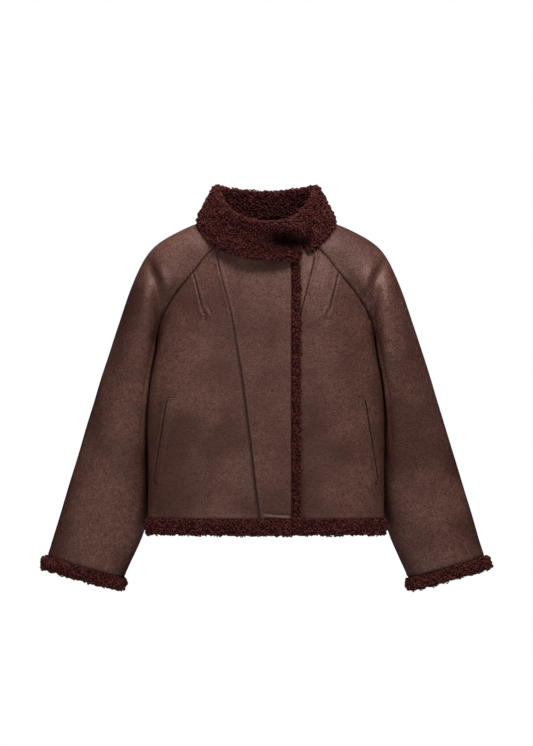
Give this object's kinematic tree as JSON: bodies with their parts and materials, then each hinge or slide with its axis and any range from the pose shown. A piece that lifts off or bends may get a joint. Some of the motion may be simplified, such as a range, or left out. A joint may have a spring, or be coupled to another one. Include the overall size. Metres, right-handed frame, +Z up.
{
  "type": "women's teddy-lined leather jacket, worn form with no wearer",
  "caption": "Short dark brown leather jacket with raglan sleeves, off-centre closing edge and curly teddy collar, hem and cuffs.",
  "frame": {"origin": "point on the jacket's middle plane at the height of the top of the leather neckline in front, between the shoulders, where the wearer's neck would be", "axes": "+Z up, -Y is the front of the jacket, +X is the wearer's left"},
  "size_m": [0.8606, 0.2485, 0.7763],
  "materials": {
    "leather": "matte, finely pebbled, dark warm brown",
    "teddy": "curly teddy pile, dark burgundy brown"
  },
  "bodies": {
    "root": {"front_right_centre": "leather", "front_right_side": "leather", "front_left_centre": "leather", "front_left_side": "leather", "back": "leather", "sleeve_right": "leather", "sleeve_left": "leather", "collar": "teddy", "front_edge_band": "teddy", "hem_band": "teddy", "cuff_band_right": "teddy", "cuff_band_left": "teddy", "pocket_welt_right": "leather", "pocket_welt_left": "leather"}
  },
  "joints": []
}
